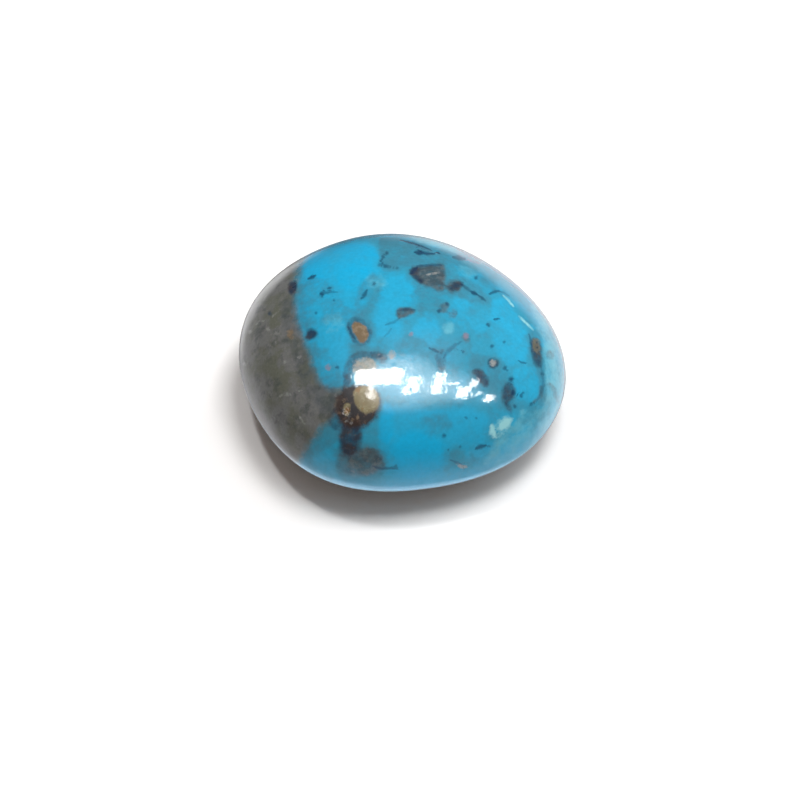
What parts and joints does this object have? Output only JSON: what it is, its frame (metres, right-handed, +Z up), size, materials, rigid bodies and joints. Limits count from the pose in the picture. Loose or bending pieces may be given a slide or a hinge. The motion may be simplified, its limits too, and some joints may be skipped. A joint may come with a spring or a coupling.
{
  "type": "polished turquoise nugget",
  "caption": "Loose polished turquoise stone with a smooth freeform dome, brown host rock and a small flat base to rest on.",
  "frame": {"origin": "under the middle of the stone's box, on the plane of its ground base", "axes": "+Z up, from the ground base to the top of the dome; +X along the stone's length, towards the right of the picture; +Y away from the camera"},
  "size_m": [0.02, 0.0176, 0.0091],
  "materials": {
    "polished_turquoise": "polished turquoise with grey-brown host rock, dark veins and small golden flecks"
  },
  "bodies": {
    "root": {"turquoise_nugget": "polished_turquoise"}
  },
  "joints": []
}
